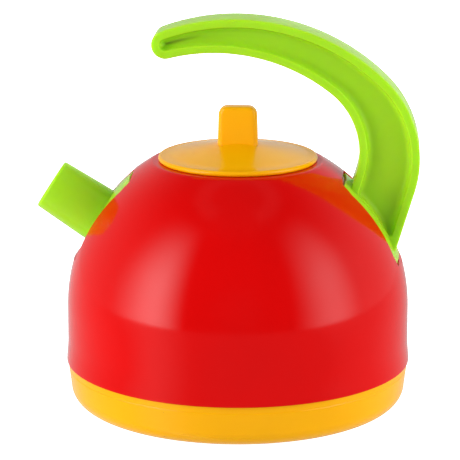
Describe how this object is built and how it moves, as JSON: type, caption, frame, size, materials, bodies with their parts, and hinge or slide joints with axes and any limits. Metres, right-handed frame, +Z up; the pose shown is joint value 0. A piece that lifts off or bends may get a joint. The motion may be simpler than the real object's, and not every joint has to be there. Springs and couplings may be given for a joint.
{
  "type": "toy teapot",
  "caption": "Domed toy teapot with a dish base, a lift-off lid with a block knob, a short tube spout and an open arched handle, for pretend play.",
  "frame": {"origin": "centre of the base's underside, on the table", "axes": "+Z up along the pot's axis, +X towards the handle, -X towards the spout"},
  "size_m": [0.1448, 0.1312, 0.1481],
  "materials": {
    "red_plastic": "glossy moulded plastic",
    "yellow_plastic": "glossy moulded plastic",
    "green_plastic": "glossy moulded plastic"
  },
  "bodies": {
    "pot": {"shell": "red_plastic", "base": "yellow_plastic", "handle": "green_plastic", "spout": "green_plastic"},
    "lid": {"lid": "yellow_plastic"}
  },
  "joints": [
    {"name": "lid_lift", "type": "slide", "parent": "pot", "child": "lid", "axis": [0, 0, 1], "range_m": [0, 0.017]}
  ]
}
